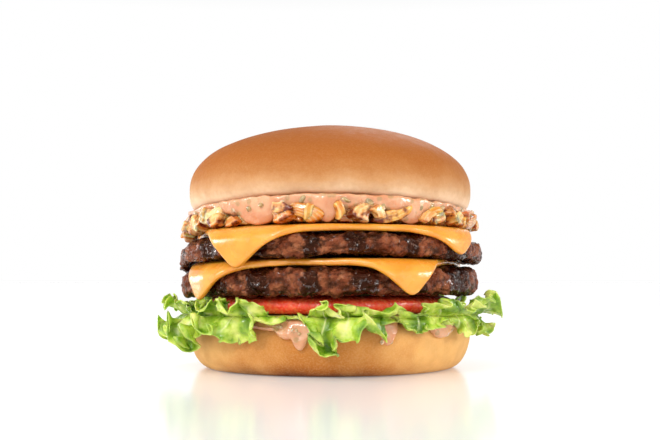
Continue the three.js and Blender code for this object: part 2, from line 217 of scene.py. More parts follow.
def joined(parts):
    """The points, quads and triangles of several parts as one."""
    starts = np.cumsum([0] + [len(points) for points, _, _ in parts])
    points = np.concatenate([part[0] for part in parts])
    faces = [np.concatenate([part[k] + start for part, start in zip(parts, starts)]) for k in (1, 2)]
    return points, *faces


def around(radius, bearing, z):
    """Points at a radius, bearing and height."""
    radius, bearing, z = np.broadcast_arrays(radius, bearing, z)
    return np.stack([radius * np.sin(bearing), -radius * np.cos(bearing), z], -1)


def bearings(columns):
    """Even bearings all round, in a column."""
    return (np.arange(columns) * TURN / columns)[:, None]


def half_turn(count):
    """Angles from straight down to straight up, in a row."""
    return np.linspace(-np.pi / 2, np.pi / 2, count)[None]


def grid_normals(grid, wrap=True):
    """Unit normals of a grid of points, from its neighbours."""
    if wrap:
        across = np.roll(grid, -1, 0) - np.roll(grid, 1, 0)
    else:
        across = np.gradient(grid, axis=0)
    normal = np.cross(across, np.gradient(grid, axis=1))
    return normal / np.maximum(np.linalg.norm(normal, axis=-1, keepdims=True), 1e-9)


def outward_normals(grid):
    """Unit normals of a closed grid of points, turned away from its middle."""
    normal = grid_normals(grid)
    return normal * np.sign(np.sum(normal * (grid - grid.mean((0, 1)))))


def pushed(grid, way, depth):
    """Points moved along their ways, each by its own depth."""
    return grid + way * depth[..., None]


def smooth_rows(rows, count):
    """A smooth run of count points through each row's points, which lie along axis 1."""
    last = rows.shape[1] - 1
    where = np.linspace(0, last, count)
    k = np.clip(np.floor(where).astype(int), 0, last - 1)
    t = (where - k)[None, :, None]
    p0, p1, p2, p3 = (rows[:, np.clip(k + step, 0, last)] for step in (-1, 0, 1, 2))
    return 0.5 * (
        2 * p1 + (p2 - p0) * t + (2 * p0 - 5 * p1 + 4 * p2 - p3) * t**2 + (3 * p1 - p0 - 3 * p2 + p3) * t**3
    )


def profile(outline, count):
    """Radii and heights of a smooth run of count points through an outline."""
    line = smooth_rows(np.array(outline, float)[None], count)
    return line[..., 0], line[..., 1]


def disc(flat, edge, up):
    """Radii and levels of points over a disc, from the middle of its lower face, round its edge, to
    the middle of its upper face. The levels go from -1 to 1."""
    ends = np.ones((1, flat.shape[1]))
    return np.concatenate([flat, edge, flat[:, ::-1]], axis=1), np.concatenate([-ends, up, ends], axis=1)


# Materials

def tint(colour):
    """Red, green and blue as a screen shows them, from 0 to 255, as the shader wants them."""
    share = np.array(colour) / 255
    linear = np.where(share <= 0.04045, share / 12.92, ((share + 0.055) / 1.055) ** 2.4)
    return (*linear, 1.0)


class Paint:
    """One material and the nodes that colour and roughen it. Sizes are in millimetres."""

    def __init__(self, name, **finish):
        self.material = bpy.data.materials.new(name)
        self.material.use_nodes = True
        self.tree = self.material.node_tree
        self.shader = self.tree.nodes["Principled BSDF"]
        self.place = self.node("ShaderNodeTexCoord").outputs["Object"]
        for socket, value in finish.items():
            self.shader.inputs[socket.replace("_", " ")].default_value = value

    def node(self, kind, **settings):
        made = self.tree.nodes.new(kind)
        for key, value in settings.items():
            setattr(made, key, value)
        return made

    def feed(self, value, socket):
        if isinstance(value, bpy.types.NodeSocket):
            self.tree.links.new(value, socket)
        else:
            socket.default_value = value

    def math(self, operation, a, b=0.0, clamp=False):
        made = self.node("ShaderNodeMath", operation=operation, use_clamp=clamp)
        self.feed(a, made.inputs[0])
        self.feed(b, made.inputs[1])
        return made.outputs[0]

    def plus(self, a, b):
        return self.math("ADD", a, b)

    def times(self, a, b):
        return self.math("MULTIPLY", a, b)

    def scaled(self, value, low, high, start=0.0, end=1.0, curve="SMOOTHSTEP"):
        """Value from low to high becomes start to end, and goes no further."""
        made = self.node("ShaderNodeMapRange", interpolation_type=curve)
        for socket, number in zip(made.inputs, (value, low, high, start, end)):
            self.feed(number, socket)
        return made.outputs[0]

    def texture(self, kind, size):
        made = self.node(kind)
        made.inputs["Scale"].default_value = 1 / (size * MM)
        self.feed(self.place, made.inputs["Vector"])
        return made

    def noise(self, size, detail):
        made = self.texture("ShaderNodeTexNoise", size)
        made.inputs["Detail"].default_value = detail
        return made.outputs[0]

    def patchy(self, size, detail, *spread):
        """Noise that is then scaled."""
        return self.scaled(self.noise(size, detail), *spread)

    def cells(self, size, output):
        return self.texture("ShaderNodeTexVoronoi", size).outputs[output]

    def axis(self, letter):
        """One coordinate in millimetres."""
        made = self.node("ShaderNodeSeparateXYZ")
        self.feed(self.place, made.inputs[0])
        return self.times(made.outputs["XYZ".index(letter)], 1 / MM)

    def attribute(self, name):
        return self.node("ShaderNodeAttribute", attribute_name=name).outputs["Fac"]

    def ramp(self, value, *stops):
        """Colours at places from 0 to 1."""
        made = self.node("ShaderNodeValToRGB")
        elements = made.color_ramp.elements
        while len(elements) < len(stops):
            elements.new(0.5)
        for element, (at, colour) in zip(elements, stops):
            element.position = at
            element.color = tint(colour)
        self.feed(value, made.inputs[0])
        return made.outputs[0]

    def mix(self, share, under, over):
        """A share of one colour over another. Each is a socket, or its red, green and blue."""
        made = self.node("ShaderNodeMix", data_type="RGBA")
        self.feed(share, made.inputs["Factor"])
        for number, colour in ((6, under), (7, over)):
            self.feed(tint(colour) if isinstance(colour, tuple) else colour, made.inputs[number])
        return made.outputs[2]

    def bump(self, height, depth, before=None, strength=1.0):
        """Relief of a height from 0 to 1 times a depth in millimetres."""
        made = self.node("ShaderNodeBump")
        made.inputs["Distance"].default_value = depth * MM
        self.feed(strength, made.inputs["Strength"])
        self.feed(height, made.inputs["Height"])
        if before is not None:
            self.feed(before, made.inputs["Normal"])
        return made.outputs[0]

    def finish(self, colour, roughness, normal):
        for name, value in (("Base Color", colour), ("Roughness", roughness), ("Normal", normal)):
            self.feed(value, self.shader.inputs[name])
        return self.material


def soft(weight, radius, scale):
    """Settings for light that goes a little way into a food, with its scale in millimetres."""
    return {"Subsurface_Weight": weight, "Subsurface_Radius": radius, "Subsurface_Scale": scale * MM}


def bun_paint(name, colours, low, high, mottle, paler=0.0):
    """Baked crust with pores and faint mottling, and colours by height from low to high. It can
    be painted paler at the sides, as painted light from the side lamps."""
    paint = Paint(name, Specular_IOR_Level=0.06, **soft(0.08, (1.0, 0.55, 0.3), 2.0))
    height = paint.plus(paint.axis("Z"), paint.patchy(16, 2, 0.2, 0.8, -1.2, 1.2))
    height = paint.plus(height, paint.patchy(1.6, 3, 0.2, 0.8, -0.35, 0.35))
    stops = [((z - low) / (high - low), colour) for z, colour in colours.items()]
    colour = paint.ramp(paint.scaled(height, low, high, curve="LINEAR"), *stops)
    if paler:
        # Painted side light: the sides are painted paler, as the side lamps light them.
        side = paint.plus(paint.axis("X"), paint.patchy(12, 2, 0.2, 0.8, -8.0, 8.0))
        side = paint.scaled(paint.math("ABSOLUTE", paint.plus(side, 4.0)), 6.0, 44.0)
        colour = paint.mix(paint.times(side, paler), colour, (242, 190, 118))
    speckle = paint.patchy(0.55, 2, 0.35, 0.75)
    colour = paint.mix(paint.times(speckle, mottle), colour, (250, 214, 160))
    patches = paint.patchy(5, 4, 0.35, 0.7)
    colour = paint.mix(paint.times(patches, 0.12), colour, (150, 84, 40))
    relief = paint.bump(paint.noise(0.9, 3), 0.08)
    relief = paint.bump(paint.noise(4, 2), 0.15, relief)
    return paint.finish(colour, paint.patchy(2.5, 2, 0.2, 0.8, 0.48, 0.62), relief)


def crown_paint():
    """Cream at the rim, through gold, to brown on top."""
    colours = {
        55.5: (240, 216, 186), 58.2: (230, 196, 160), 60.2: (208, 166, 126), 62.6: (194, 142, 94),
        65.5: (176, 115, 63), 70.0: (166, 97, 42), 76.0: (162, 91, 36), 84.0: (158, 88, 38),
    }
    return bun_paint("crown crust", colours, 54.0, CROWN_TOP, 0.05)


def heel_paint():
    """Brown at the foot, through gold, to cream at the cut face."""
    colours = {
        0.2: (120, 62, 24), 1.6: (156, 90, 36), 4.5: (184, 114, 50), 8.0: (194, 124, 58),
        12.5: (196, 126, 60), 15.8: (206, 144, 84), 16.9: (226, 184, 132),
    }
    # Its sides get painted side light, paler where the side lamps light them.
    return bun_paint("heel crust", colours, 0.0, HEEL_TOP, 0.12, paler=0.75)


def sauce_paint():
    """Creamy dressing, with pickle showing dimly through it."""
    paint = Paint("dressing", Specular_IOR_Level=0.5, Coat_Weight=0.3, **soft(0.35, (1.0, 0.55, 0.35), 2.0))
    pale = paint.patchy(7, 3, 0.3, 0.7)
    colour = paint.mix(pale, (208, 142, 100), (224, 170, 130))
    pickle = paint.scaled(paint.cells(3.4, "Distance"), 0.2, 0.36, 0.6, 0.0)
    colour = paint.mix(pickle, colour, (166, 140, 92))
    specks = paint.patchy(0.8, 1, 0.66, 0.74)
    colour = paint.mix(paint.times(specks, 0.35), colour, (206, 110, 66))
    relief = paint.bump(paint.noise(1.6, 3), 0.22)
    return paint.finish(colour, paint.patchy(3, 2, 0.3, 0.7, 0.14, 0.3), relief)


def relish_paint():
    paint = Paint("relish", Coat_Weight=0.4, **soft(0.5, (1.0, 0.9, 0.4), 1.2))
    colour = paint.ramp(
        paint.cells(4, "Color"), (0.2, (156, 136, 96)), (0.4, (176, 152, 104)), (0.6, (206, 168, 126)),
        (0.8, (222, 192, 158)),
    )
    return paint.finish(colour, 0.22, paint.bump(paint.noise(0.7, 2), 0.1))


def patty_paint():
    """Grilled ground beef. The bars of the grill leave dark bands along Y, a bar's pitch apart."""
    pitch, first = 16.5, 10.7
    shine = {"Specular_IOR_Level": 0.24, "Specular_Tint": (1, 0.5, 0.3, 1)}
    paint = Paint("grilled beef", Coat_IOR=1.6, Coat_Roughness=0.1, **shine)
    wander = paint.patchy(15, 1, 0.2, 0.8, -3.0, 3.0)
    across = paint.plus(paint.plus(paint.axis("X"), first), wander)
    wave = paint.math("SINE", paint.times(across, float(TURN / pitch)))
    ragged = paint.patchy(3.2, 3, 0.2, 0.8, -0.5, 0.5)
    band = paint.scaled(paint.plus(wave, ragged), -0.15, 0.45)
    uneven = paint.patchy(4, 2, 0.3, 0.7, -0.25, 0.25)
    faces = paint.scaled(paint.plus(paint.attribute("face"), uneven), 0.7, 1.05, 0.0, 0.8)
    char = paint.math("MAXIMUM", band, faces)
    crumb = paint.attribute("crumb")
    meat = paint.ramp(
        crumb, (0.0, (84, 38, 22)), (0.35, (116, 58, 36)), (0.7, (138, 78, 50)), (1.0, (164, 104, 70)),
    )
    dark = paint.patchy(1.1, 3, 0.5, 0.72, 0.0, 0.75)
    meat = paint.mix(dark, meat, (52, 20, 10))
    burnt = paint.mix(crumb, (20, 4, 2), (46, 13, 6))
    colour = paint.mix(paint.times(char, 0.95), meat, burnt)
    # Painted shade: the creases between crumbs are painted near black, where shade falls.
    colour = paint.mix(paint.times(paint.attribute("pit"), 0.75), colour, (18, 6, 3))
    wet = paint.patchy(2.2, 2, 0.35, 0.65, 0.0, 0.12)
    roughness = paint.plus(paint.scaled(char, 0.0, 1.0, 0.26, 0.04), wet)
    drops = paint.patchy(1.3, 1, 0.6, 0.64)
    glint = paint.times(drops, paint.scaled(char, 0.0, 1.0, 0.35, 1.0))
    paint.feed(glint, paint.shader.inputs["Coat Weight"])
    coarse = paint.scaled(char, 0.0, 1.0, 0.9, 0.5)
    grains = paint.scaled(paint.cells(0.9, "Distance"), 0.0, 0.8, 1.0, 0.0)
    relief = paint.bump(grains, 0.26, strength=coarse)
    relief = paint.bump(paint.noise(0.5, 3), 0.12, relief, coarse)
    return paint.finish(colour, roughness, relief)


def cheese_paint():
    shine = {"Specular_IOR_Level": 0.5, "Coat_Weight": 0.4, "Coat_Roughness": 0.16}
    paint = Paint("melted cheese", **shine, **soft(0.45, (1.0, 0.5, 0.12), 3.0))
    colour = paint.mix(paint.patchy(9, 2, 0.3, 0.7), (228, 144, 38), (240, 163, 60))
    relief = paint.bump(paint.noise(6, 2), 0.5)
    return paint.finish(colour, paint.patchy(4, 2, 0.3, 0.7, 0.18, 0.32), relief)


def tomato_paint():
    """Wet cut flesh, its red painted lighter against the patty's shade, with orange grains partly painted
    highlight.
    """
    paint = Paint("tomato", Specular_IOR_Level=0.4, Coat_Weight=0.2, **soft(0.25, (1.0, 0.2, 0.1), 2.0))
    # Painted light: both reds are lifted to offset the shade under the patty.
    colour = paint.mix(paint.patchy(3, 3, 0.3, 0.7), (238, 58, 30), (250, 94, 54))
    # Orange grains, partly the flesh's own and partly painted highlight speckle.
    grains = paint.scaled(paint.cells(1.2, "Distance"), 0.1, 0.5, 0.45, 0.0)
    colour = paint.mix(grains, colour, (252, 140, 78))
    # Pale orange patches, partly painted highlight as well.
    pale = paint.patchy(1.6, 3, 0.5, 0.72, 0.0, 0.6)
    colour = paint.mix(pale, colour, (250, 128, 70))
    relief = paint.bump(paint.noise(0.9, 2), 0.3)
    return paint.finish(colour, paint.patchy(1.4, 2, 0.4, 0.6, 0.1, 0.4), relief)


def lettuce_paint():
    """Fresh leaf, pale at its heart and along its ribs."""
    paint = Paint("lettuce", Specular_IOR_Level=0.4, Coat_Weight=0.15, **soft(0.5, (0.7, 1.0, 0.25), 1.2))
    margin = paint.attribute("margin")
    rib = paint.attribute("rib")
    green = paint.ramp(
        paint.noise(6, 3), (0.32, (84, 124, 20)), (0.44, (130, 164, 38)), (0.54, (178, 200, 70)),
        (0.66, (220, 228, 124)),
    )
    heart = paint.scaled(margin, 0.05, 0.5, 0.55, 0.0)
    colour = paint.mix(heart, green, (210, 212, 128))
    colour = paint.mix(paint.times(rib, 0.8), colour, (230, 232, 166))
    fringe = paint.scaled(margin, 0.93, 1.0, 0.0, 0.4)
    colour = paint.mix(fringe, colour, (206, 222, 110))
    relief = paint.bump(paint.noise(1.8, 3), 0.35)
    relief = paint.bump(paint.noise(0.6, 2), 0.1, relief)
    return paint.finish(colour, paint.patchy(3, 2, 0.3, 0.7, 0.2, 0.4), relief)


def onion_paint():
    """Onion from pale to amber, browned where it met the grill."""
    shine = {"Specular_IOR_Level": 0.45, "Coat_Weight": 0.25}
    paint = Paint("grilled onion", **shine, **soft(0.7, (1.0, 0.6, 0.25), 2.6))
    flesh = paint.ramp(
        paint.attribute("shade"), (0.0, (190, 104, 30)), (0.3, (214, 142, 50)), (0.6, (222, 176, 84)),
        (0.9, (228, 196, 134)),
    )
    amber = paint.patchy(4.5, 2, 0.4, 0.62, 0.0, 0.7)
    flesh = paint.mix(amber, flesh, (206, 124, 36))
    patch = paint.patchy(2.6, 2, 0.38, 0.68, -0.4, 0.6)
    seared = paint.math("ADD", paint.attribute("brown"), patch, clamp=True)
    burnt = paint.mix(paint.scaled(seared, 0.3, 1.0), (178, 76, 20), (104, 32, 8))
    colour = paint.mix(seared, flesh, burnt)
    vein = paint.math("SINE", paint.times(paint.attribute("fibre"), float(TURN)))
    vein = paint.scaled(vein, -0.2, 1.0)
    pale = paint.times(vein, paint.scaled(seared, 0.0, 0.6, 0.3, 0.06))
    colour = paint.mix(pale, colour, (250, 232, 180))
    relief = paint.bump(vein, 0.08)
    relief = paint.bump(paint.noise(1.6, 2), 0.2, relief)
    return paint.finish(colour, paint.patchy(2, 2, 0.3, 0.7, 0.14, 0.3), relief)


# Bun

def crown():
    """The top half of the bun: a smooth dome with a rounded rim."""
    widest, inner, fullness = 62.6, 45.6, 2 / 2.1
    bearing = bearings(240)
    uneven = 1 + 0.004 * np.sin(3 * bearing) + 0.003 * np.sin(2 * bearing + 1)
    radii = np.array([0, 12, 24, 32, 40, 44])[None]
    under = around(radii, bearing, crown_floor(radii, bearing))
    turn = np.linspace(-np.pi / 2, 0, 26)[None, 1:]
    rim = inner + (BUN_RADIUS - inner) * np.cos(turn) ** 0.75
    wavy = 0.35 * noise(around(50, bearing, 0), 9, 3) * smoothstep(-turn, 0, 1.4)
    level = lerp(widest, crown_floor(rim, bearing), np.abs(np.sin(turn)) ** 0.78)
    side = around(rim * uneven, bearing, level + wavy)
    turn = np.linspace(0, np.pi / 2, 60)[None, 1:]
    radius = BUN_RADIUS * np.maximum(np.cos(turn), 0) ** fullness
    dome = around(radius * uneven, bearing, widest + (CROWN_TOP - widest) * np.sin(turn) ** fullness)
    grid = np.concatenate([under, side, dome], axis=1)
    swell = 0.3 * noise(grid, 22, 5) + 0.12 * noise(grid, 8, 6)
    past_floor = np.arange(grid.shape[1])[None] - radii.size
    return solid("top_bun", *turned(pushed(grid, grid_normals(grid), swell * smoothstep(past_floor, 0, 12))))


def heel():
    """The bottom half of the bun: a flat foot, swelling sides and a flat cut face."""
    on_side = 44
    bearing = bearings(240)
    outline = [
        (41.5, 0), (44.6, 0.7), (47.2, 3.0), (48.9, 6.6), (HEEL_RADIUS, 11.0), (49.6, 14.6), (48.2, 16.5),
        (46.2, HEEL_TOP),
    ]
    radius, z = profile(outline, on_side)
    uneven = 0.35 * np.sin(3 * bearing + 1) + 0.25 * np.sin(5 * bearing)
    share = np.sin(np.linspace(0, np.pi, on_side))[None] ** 0.5
    side = around(radius + uneven * share, bearing, z)
    lumps = 0.25 * noise(side, 11, 8) + 0.08 * noise(side, 3, 9)
    side = pushed(side, around(1, bearing, 0), lumps * share)
    flat = np.array([0, 20, 40])[None]
    foot, cut = around(flat, bearing, 0), around(flat[:, ::-1], bearing, HEEL_TOP)
    return solid("bottom_bun", *turned(foot, side, cut))


# Dressing

def angle_from(bearing, degrees):
    """Degrees from a bearing, either way round."""
    turn = bearing - np.radians(degrees)
    return np.abs(np.degrees(np.arctan2(np.sin(turn), np.cos(turn))))


def near(bearing, degrees, width):
    """1 at a bearing, and less away from it over a width in degrees."""
    return np.exp(-((angle_from(bearing, degrees) / width) ** 2))


def drip_at(drips, bearing):
    """Share of a full drip at each bearing, as in the CAD source."""
    share = np.zeros_like(bearing)
    for at, half, *_ in drips:
        share = np.maximum(share, 1 - smoothstep(angle_from(bearing, at), half * 0.45, half * 1.3))
    return share


def drip_edge(drips, bearing, rest, seed):
    """Height of the lower edge of a dressing whose drips have round tips and flared tops, and
    how full the dressing is there, from 0 to 1."""
    sharp = 9
    lowest = np.broadcast_to(rest, bearing.shape).astype(float)
    full = np.zeros_like(bearing)
    place = around(50, bearing, 0)
    for number, (at, half, foot) in enumerate(drips):
        away = angle_from(bearing, at) * (1 + 0.25 * noise(place, 5, seed + number))
        tip = np.sqrt(np.clip(1 - (away / half / 1.1) ** 2, 0, 1))
        flare = 0.42 * np.exp(-((away / half / 1.9) ** 2))
        share = np.log(np.exp(sharp * tip) + np.exp(sharp * flare) - 1) / sharp
        lowest = np.minimum(lowest, lerp(rest, foot, np.minimum(share, 1)))
        full = np.maximum(full, np.exp(-((away / half / 1.5) ** 4)))
    return lowest, full


# Bearing and half width in degrees, and height of the foot, of each drip.
SPREAD_DRIPS = [
    (-21, 6, 14.8), (-15.5, 4.5, 12.2), (-10.8, 3.6, 8.9), (21, 3.2, 10.2), (46, 6, 12.0), (-51, 5, 13.4),
    (118, 6, 11.0), (168, 7, 9.6), (-138, 6, 11.4),
]
DRESSING_DRIPS = [
    (-28, 7, 49.4), (-1, 3.5, 49.6), (32, 5, 49.4), (78, 5, 50.0),
    (122, 7, 49.5), (166, 6, 49.4), (-142, 7, 49.5), (-100, 5, 49.6),
]
DRESSING_DEPTH = 3.1


def stacked(*pairs):
    """An array of columns by points by 2, of radius and height, from pairs of either."""
    columns = max(np.size(value) for pair in pairs for value in pair)
    rows = [[np.broadcast_to(np.ravel(value), columns) for value in pair] for pair in pairs]
    return np.moveaxis(np.array(rows, float), 2, 0)


def spread():
    """The dressing on the heel, running down its side in drips."""
    rings = 52
    bearing = bearings(560)
    under, top = HEEL_TOP + GAP, SPREAD_TOP
    lip = HEEL_TOP - 0.6
    low, full = (values.ravel() for values in drip_edge(SPREAD_DRIPS, bearing, lip - 0.6, 210))
    wall = HEEL_RADIUS + 0.35
    fat = 0.5 + 0.9 * full
    rest = stacked(
        (40, under), (46, under), (47.6, under - 0.1), (48.1, under + 0.1), (48.5, under + 0.4),
        (48.4, top - 0.4), (47.9, top - 0.15), (46.6, top), (40, top),
    )
    bulge = stacked(
        (40, under), (47.6, under), (wall - 0.7, lip), (wall - 0.3, low + 0.8), (wall + 0.2, low),
        (wall + fat, low + 0.9), (wall + fat * 0.9, lerp(low, lip, 0.5) + 0.5), (49.6, top - 0.1), (40, top),
    )
    share = smoothstep(full, 0.02, 0.6)[:, None, None]
    line = smooth_rows(lerp(rest, bulge, share), rings)
    grid = around(line[..., 0], bearing, line[..., 1])
    outer = smoothstep(np.arange(rings), 0.42 * rings, 0.6 * rings)[None]
    lumps = 0.3 * noise(grid, 4.5, 21) + 0.16 * noise(grid, 1.8, 22)
    grid = pushed(grid, around(1, bearing, 0), lumps * outer)
    return solid("spread_dressing", *closed(under, grid, top))


def dressing_depth(radius, bearing):
    """Thickness of the dressing under the crown, greatest at the front and the back."""
    return DRESSING_DEPTH + 0.8 * np.cos(2 * bearing) * smoothstep(radius, 24, 40)


def dressing():
    """The dressing under the crown, running down between the onions."""
    bearing = bearings(560)
    radii = np.array([24, 40, 45.2, 46.2, 47.4, 49.0, 50.0, 50.5, 49.4, 46.8, 40, 24.0])[None]
    top = crown_floor(radii, bearing) - GAP
    floor = top - dressing_depth(radii, bearing)
    at_rim = around(50, bearing, 0)
    rest = floor[:, 5:6] + 0.8 * noise(at_rim, 6, 33)
    lip = 0.5 + 0.5 * noise(at_rim, 3, 34, 2)[:, 0]
    lowest, full = drip_edge(DRESSING_DRIPS, bearing, rest, 230)
    edge = (lowest - droop(50, bearing) * full)[:, 0]
    heights = [
        *floor.T[:3], lerp(floor[:, 3], edge, 0.5), edge + 0.15, edge + 0.1, lerp(edge, top[:, 6], 0.3),
        lerp(edge, top[:, 7] + lip, 0.85), top[:, 8] + lip, top[:, 9] + 0.3 * lip, *top.T[10:],
    ]
    line = smooth_rows(np.stack([np.broadcast_to(radii, top.shape), np.stack(heights, 1)], -1), 60)
    grid = around(line[..., 0], bearing, line[..., 1])
    lumps = 0.55 * noise(grid, 5, 31) + 0.3 * noise(grid, 2, 32) + 0.5 * full
    grid = pushed(grid, around(1, bearing, 0), lumps * smoothstep(line[..., 0], 46, 49))
    high = CROWN_FLOOR - GAP
    return solid("crown_dressing", *closed(high - DRESSING_DEPTH, grid, high))


def rotated(grid, axis, angle):
    """Points turned by an angle about the axis of that number."""
    x, y, z = np.eye(3)[axis]
    cross = np.array([[0, -z, y], [z, 0, -x], [-y, x, 0]])
    turn = np.eye(3) + np.sin(angle) * cross + (1 - np.cos(angle)) * cross @ cross
    return grid @ turn.T


def blob(rng, size):
    """A rounded crumb about its own centre."""
    turn, rise = bearings(14), half_turn(9)
    flat = np.maximum(np.cos(rise), 0) ** 0.7
    grid = np.stack([np.cos(turn) * flat, np.sin(turn) * flat, np.sin(rise) + 0 * turn], -1)
    grid = grid * (1 + 0.3 * noise(grid + 50 * rng.random(), 0.9, 3))[..., None] * size / 2
    for axis, angle in enumerate(rng.uniform(0, TURN, 3)):
        grid = rotated(grid, axis, angle)
    return grid


def relish():
    """Chopped pickle in both dressings, half sunk in their outer face."""
    rng = np.random.default_rng(5)
    above, in_drip = 48, 4
    parts = []
    for n in range(above):
        bearing = (n + 0.9 * rng.random()) / above * TURN
        top = crown_floor(50, bearing) - GAP
        z = rng.uniform(top - dressing_depth(50, bearing) + 0.2, top - 1.0)
        place = around(49.7 + 0.4 * drip_at(DRESSING_DRIPS, bearing), bearing, z)
        parts.append(turned(blob(rng, rng.uniform([2.6, 1.6, 1.4], [5.0, 2.6, 2.2])) + place))
    for at, half, foot in SPREAD_DRIPS:
        for _ in range(in_drip):
            bearing = np.radians(at + half * rng.uniform(-0.7, 0.7))
            z = lerp(foot + 1.2, HEEL_TOP - 0.6, rng.random())
            place = around(HEEL_RADIUS + 0.9, bearing, z)
            parts.append(turned(blob(rng, rng.uniform([1.0, 1.0, 0.9], [2.2, 1.8, 1.5])) + place))
    return solid("pickle_relish", *joined(parts))


# Patties

def lump_at(bearing):
    """Share of a patty's sagging lump at a bearing, as in the CAD source."""
    return near(bearing, -102, 16)


def patty_edge(shape, bearing):
    """Radius of a patty's edge, as in the CAD source."""
    phase = shape["phase"]
    broad = 0.8 * np.sin(2 * bearing + phase) + 0.6 * np.sin(3 * bearing + 2 * phase)
    uneven = 0.5 * np.sin(7 * bearing + phase) + shape["shift"] * np.sin(bearing)
    return shape["radius"] + broad + uneven + 0.6 * shape["sag"] * lump_at(bearing)


# Levels of the flat faces, radius of the edge, shift to the right and phase of its waves, depth of
# the lump, and how far the right side is closed down, or up where that is below 0.
LOWER = {
    "low": PATTY_LOW, "top": LOWER_TOP, "radius": 53.4, "shift": 0.6,
    "phase": 0.5, "sag": 0, "close": -0.9, "seed": 41,
}
UPPER = {
    "low": UPPER_TOP - 8.0, "top": UPPER_TOP, "radius": 54.7, "shift": 0.2,
    "phase": 2.1, "sag": 2.3, "close": 1.3, "seed": 61,
}


def patty_droop(shape, radius, bearing):
    """How far a patty hangs at its rim, with the lump that sags further."""
    return droop(radius, bearing) + shape["sag"] * lump_at(bearing) * smoothstep(radius, 44, 55)


def patty_form(shape, bearing):
    """Points over a patty before it is roughened, with their radii and their levels."""
    on_face, round_off = 21, 4.6
    low, sag, close = shape["low"], shape["sag"], shape["close"]
    edge = patty_edge(shape, bearing) - round_off
    turn = half_turn(42)
    share = np.linspace(0, 1, on_face + 1)[None, :-1] ** 0.6
    rim = edge + round_off * np.maximum(np.cos(turn), 0) ** 0.8
    up = np.sign(turn) * np.abs(np.sin(turn)) ** 0.8
    radius, level = disc(lerp(6.0, edge, share), rim, up)
    above = smoothstep(level, -1, 1)
    left = near(bearing, -86, 24) * smoothstep(radius, 46, 55)
    past = near(bearing, -96, 20) * smoothstep(radius, 49, 56)
    right = near(bearing, 98, 30) * smoothstep(radius, 43, 51)
    sunk = sag * (0.7 * left * above + 0.8 * past) + close * right * (1 if close > 0 else above)
    z = lerp(low, shape["top"], (1 + level) / 2) - patty_droop(shape, radius, bearing) - sunk
    return around(radius, bearing, z), radius, level


def patty(name, shape):
    """A grilled patty: coarse crumbs of beef with creases between them, and a ragged edge."""
    seed = shape["seed"]
    grid, radius, level = patty_form(shape, bearings(600))
    warp = np.stack([noise(grid, 3, seed + k) for k in (11, 12, 13)], -1)
    big, _ = nodules(grid + 0.9 * warp, 5.0, seed)
    small, own = nodules(grid + 0.9 * warp, 2.2, seed + 20)
    fine, _ = nodules(grid + 0.4 * warp, 1.15, seed + 30)
    lumps = 1.6 * (0.45 - big) + 0.42 - small + 0.4 * (0.45 - fine) + 0.7 * noise(grid, 10, seed + 40)
    height = lumps * lerp(0.25, 1.0, smoothstep(radius, 44, 51)) - 0.25
    grid = pushed(grid, outward_normals(grid), height)
    crumb = np.clip(0.15 + 0.7 * own + 0.3 * (0.5 - fine), 0, 1)
    # The creases between crumbs, which get painted shade in the beef's colour.
    creases = smoothstep(small, 0.5, 0.9) + smoothstep(big, 0.62, 0.95) + 0.5 * smoothstep(fine, 0.6, 0.95)
    face = np.broadcast_to(np.abs(level), crumb.shape)
    at_points = {"crumb": (crumb, 0.5), "pit": (np.clip(creases, 0, 1), 0.5), "face": (face, 1)}
    attributes = {key: [*values.ravel(), middle, middle] for key, (values, middle) in at_points.items()}
    return solid(name, *closed(shape["low"], grid, shape["top"]), **attributes)


# Cheese

CHEESE_BEND = 3.5
LOWER_SLICE = {"diagonal": 57.8, "corner": -59, "x": -0.5, "y": -8.3, "seed": 71}
UPPER_SLICE = {"diagonal": 58.5, "corner": -34.5, "x": -1.3, "y": -9, "seed": 81}


def drape(shape, distance, bearing, above):
    """Radius and height of a point of a slice that lies on a patty and bends down over its edge."""
    start = patty_edge(shape, bearing) + 1 - CHEESE_BEND
    top = shape["top"] + GAP - droop(np.minimum(distance, start + CHEESE_BEND), bearing)
    past = np.maximum(distance - start, 0)
    middle = CHEESE_BEND + CHEESE / 2
    angle = np.minimum(past / middle, np.pi / 2)
    hang = np.maximum(0, past - np.pi / 2 * middle)
    outer = CHEESE_BEND + above
    radius = np.where(past > 0, start + outer * np.sin(angle), distance)
    height = np.where(past > 0, top - CHEESE_BEND + outer * np.cos(angle) - hang, top + above)
    return radius, height


def cheese(name, shape, cut):
    """A square slice, melted over its patty with its corners hanging and its edges rounded."""
    on_face, squareness = 39, 20
    seed, round_off = cut["seed"], CHEESE / 2
    even = bearings(320)
    corner = np.radians(cut["corner"])
    bearing = even - 0.16 * np.sin(4 * (even - corner))
    across = bearing - corner + np.pi / 4
    sides = np.abs(np.cos(across)) ** squareness + np.abs(np.sin(across)) ** squareness
    reach = cut["diagonal"] * np.sqrt(0.5) ** (1 - 2 / squareness) / sides ** (1 / squareness)
    reach = reach + 0.5 * noise(around(30, bearing, 0), 7, seed, 2) - round_off
    turn = half_turn(13)
    share = np.linspace(0.01, 1, on_face + 1)[None, :-1] ** 0.6
    plan, level = disc(reach * share, reach + round_off * np.cos(turn), np.sin(turn))
    x = cut["x"] + plan * np.sin(bearing)
    y = cut["y"] - plan * np.cos(bearing)
    distance, bearing = np.hypot(x, y), np.arctan2(x, -y)
    radius, height = drape(shape, distance, bearing, round_off * (1 + level))
    grid = around(radius, bearing, height)
    ripple = 0.108 * noise(around(distance, bearing, 0), 6, seed + 3, 2)
    on_top = np.where(level > -1e-6, 1, -1)
    return solid(name, *turned(pushed(grid, outward_normals(grid), ripple * on_top)))


# Tomato

